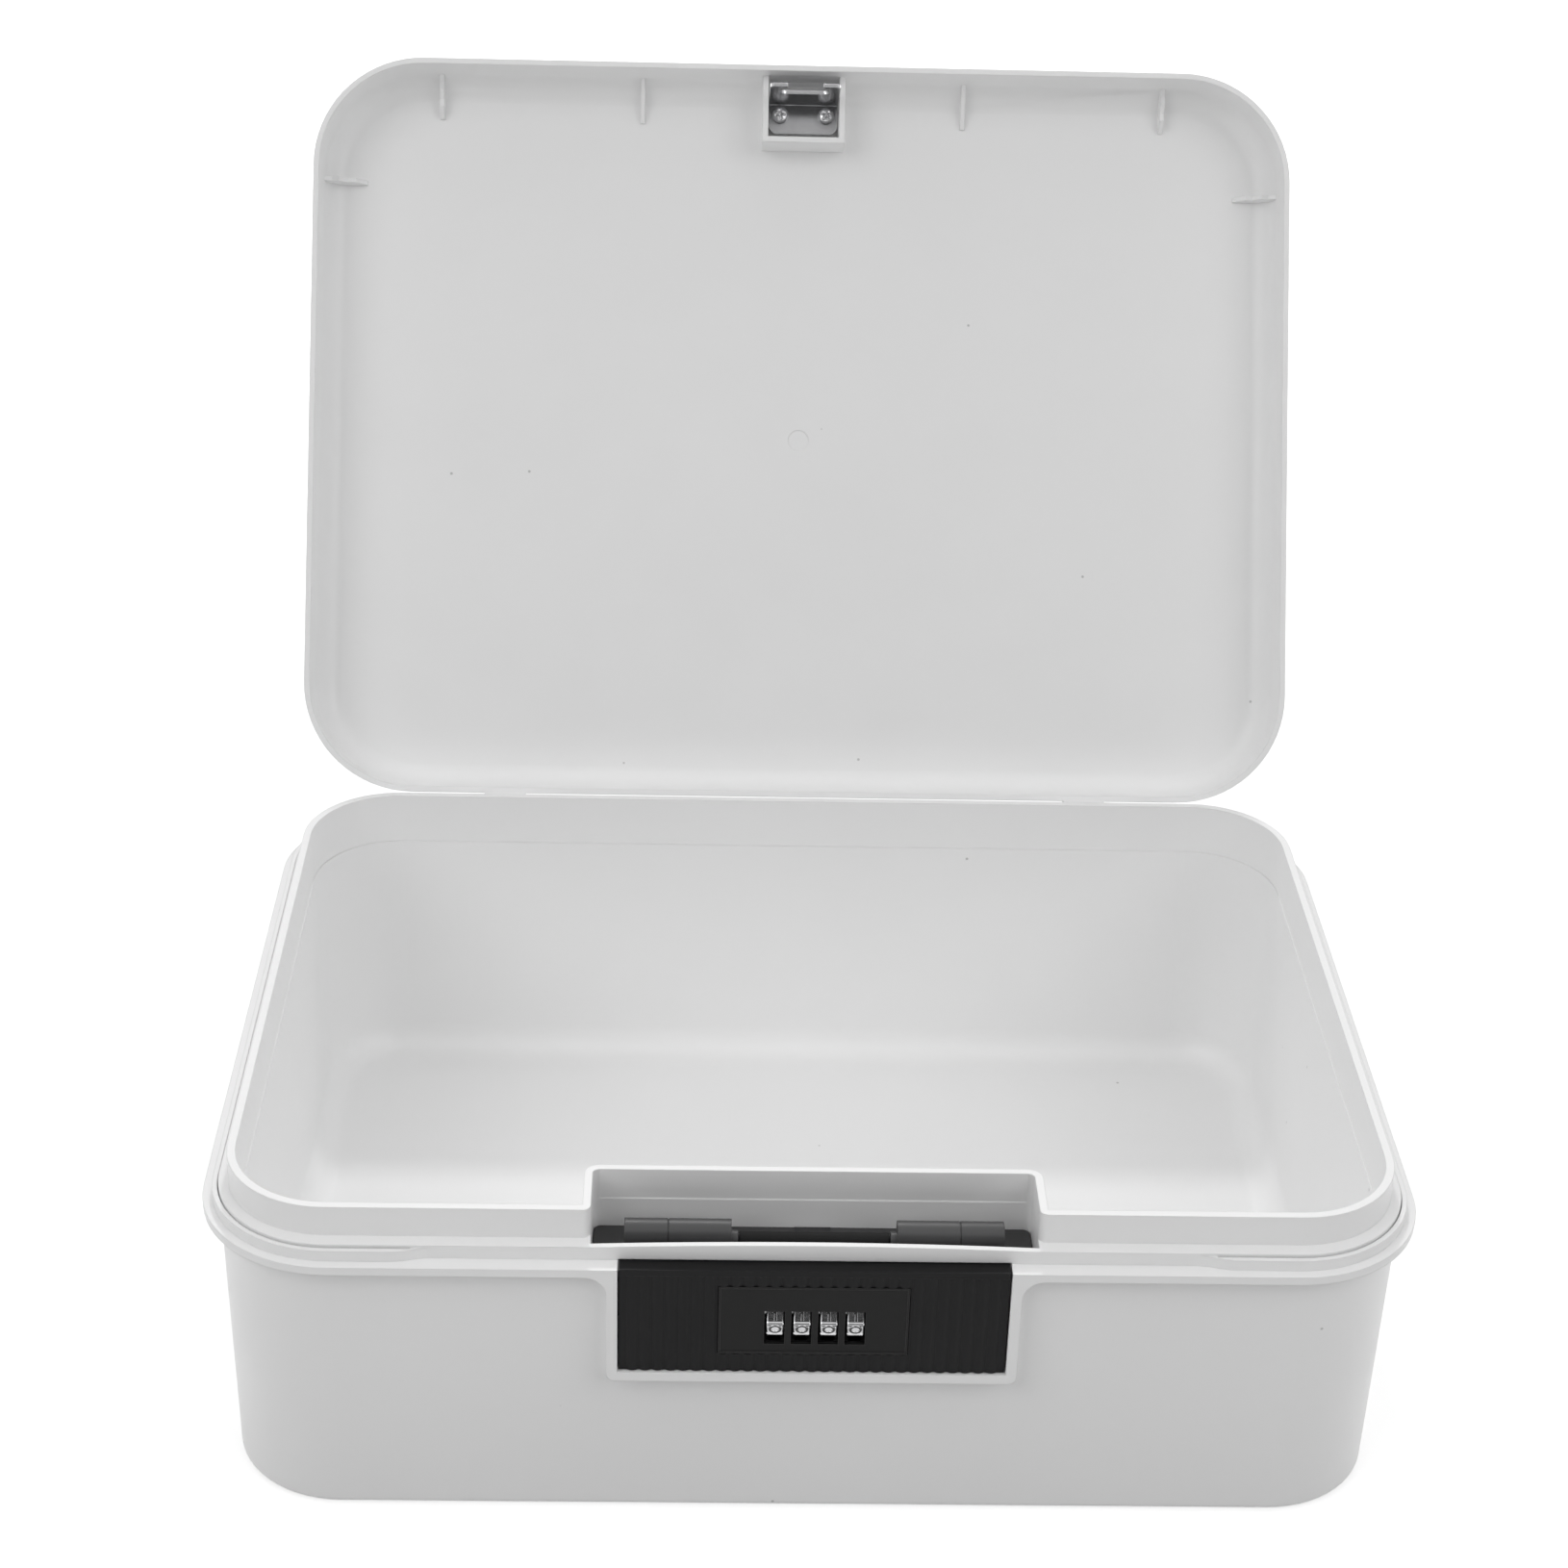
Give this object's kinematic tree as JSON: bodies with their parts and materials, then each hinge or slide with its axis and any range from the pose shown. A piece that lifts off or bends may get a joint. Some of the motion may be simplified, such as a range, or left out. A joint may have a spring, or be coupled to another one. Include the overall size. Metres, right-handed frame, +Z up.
{
  "type": "lockable storage box",
  "caption": "Moulded storage box with a stepped sealing rim and a hinged lid, closed by a latch hook behind a push panel with a dial lock in the front wall",
  "frame": {"origin": "centre of the flat underside of the base", "axes": "+X to the right as seen from the front, +Y to the back where the hinges are, +Z up; the lid stands open at rest"},
  "size_m": [0.34, 0.4067, 0.3116],
  "materials": {
    "shell": "satin off-white moulded plastic",
    "black_plastic": "black moulded plastic, satin",
    "plated_steel": "bright zinc-plated sheet",
    "steel": "plain bright steel",
    "dial_metal": "bright plated number dials"
  },
  "bodies": {
    "base": {"base_tub": "shell", "hinge_pin_left": "steel", "hinge_pin_right": "steel", "lock_frame": "black_plastic", "lock_frame_screws": "steel", "bearing_block_left": "black_plastic", "bearing_block_right": "black_plastic", "shaft_bush_left": "black_plastic", "shaft_bush_right": "black_plastic", "hook_leaf_spring": "steel", "code_gate": "black_plastic"},
    "lid": {"lid_shell": "shell", "striker_bracket": "plated_steel", "striker_screws": "plated_steel"},
    "hook": {"latch_shaft": "steel", "latch_hook": "black_plastic"},
    "panel": {"release_panel": "black_plastic", "lock_face": "black_plastic", "dial_carrier": "black_plastic", "dial_axle": "steel", "dial_detent_spring": "steel", "return_springs": "steel"},
    "dial_1_body": {"dial_1": "dial_metal", "code_sleeve_1": "black_plastic"},
    "dial_2_body": {"dial_2": "dial_metal", "code_sleeve_2": "black_plastic"},
    "dial_3_body": {"dial_3": "dial_metal", "code_sleeve_3": "black_plastic"},
    "dial_4_body": {"dial_4": "dial_metal", "code_sleeve_4": "black_plastic"}
  },
  "joints": [
    {"name": "lid_hinge", "type": "hinge", "parent": "base", "child": "lid", "pos_m": [0, 0.1331, 0.08592], "axis": [1, 0, 0], "range_deg": [0, 119.6]},
    {"name": "panel_press", "type": "slide", "parent": "base", "child": "panel", "axis": [0, 1, 0], "range_m": [0, 0.0025], "stiffness_N_per_m": 400, "springref_m": -0.004},
    {"name": "hook_turn", "type": "hinge", "parent": "base", "child": "hook", "pos_m": [0, -0.1125, 0.0868], "axis": [1, 0, 0], "range_deg": [0, 26]},
    {"name": "dial_1_turn", "type": "hinge", "parent": "panel", "child": "dial_1_body", "pos_m": [-0.01043, -0.1195, 0.068], "axis": [1, 0, 0], "continuous": true},
    {"name": "dial_2_turn", "type": "hinge", "parent": "panel", "child": "dial_2_body", "pos_m": [-0.00308, -0.1195, 0.068], "axis": [1, 0, 0], "continuous": true},
    {"name": "dial_3_turn", "type": "hinge", "parent": "panel", "child": "dial_3_body", "pos_m": [0.00428, -0.1195, 0.068], "axis": [1, 0, 0], "continuous": true},
    {"name": "dial_4_turn", "type": "hinge", "parent": "panel", "child": "dial_4_body", "pos_m": [0.01162, -0.1195, 0.068], "axis": [1, 0, 0], "continuous": true}
  ],
  "couplings": [
    {"joint": "hook_turn", "follows": "panel_press", "rad_per_m": 181.51}
  ]
}
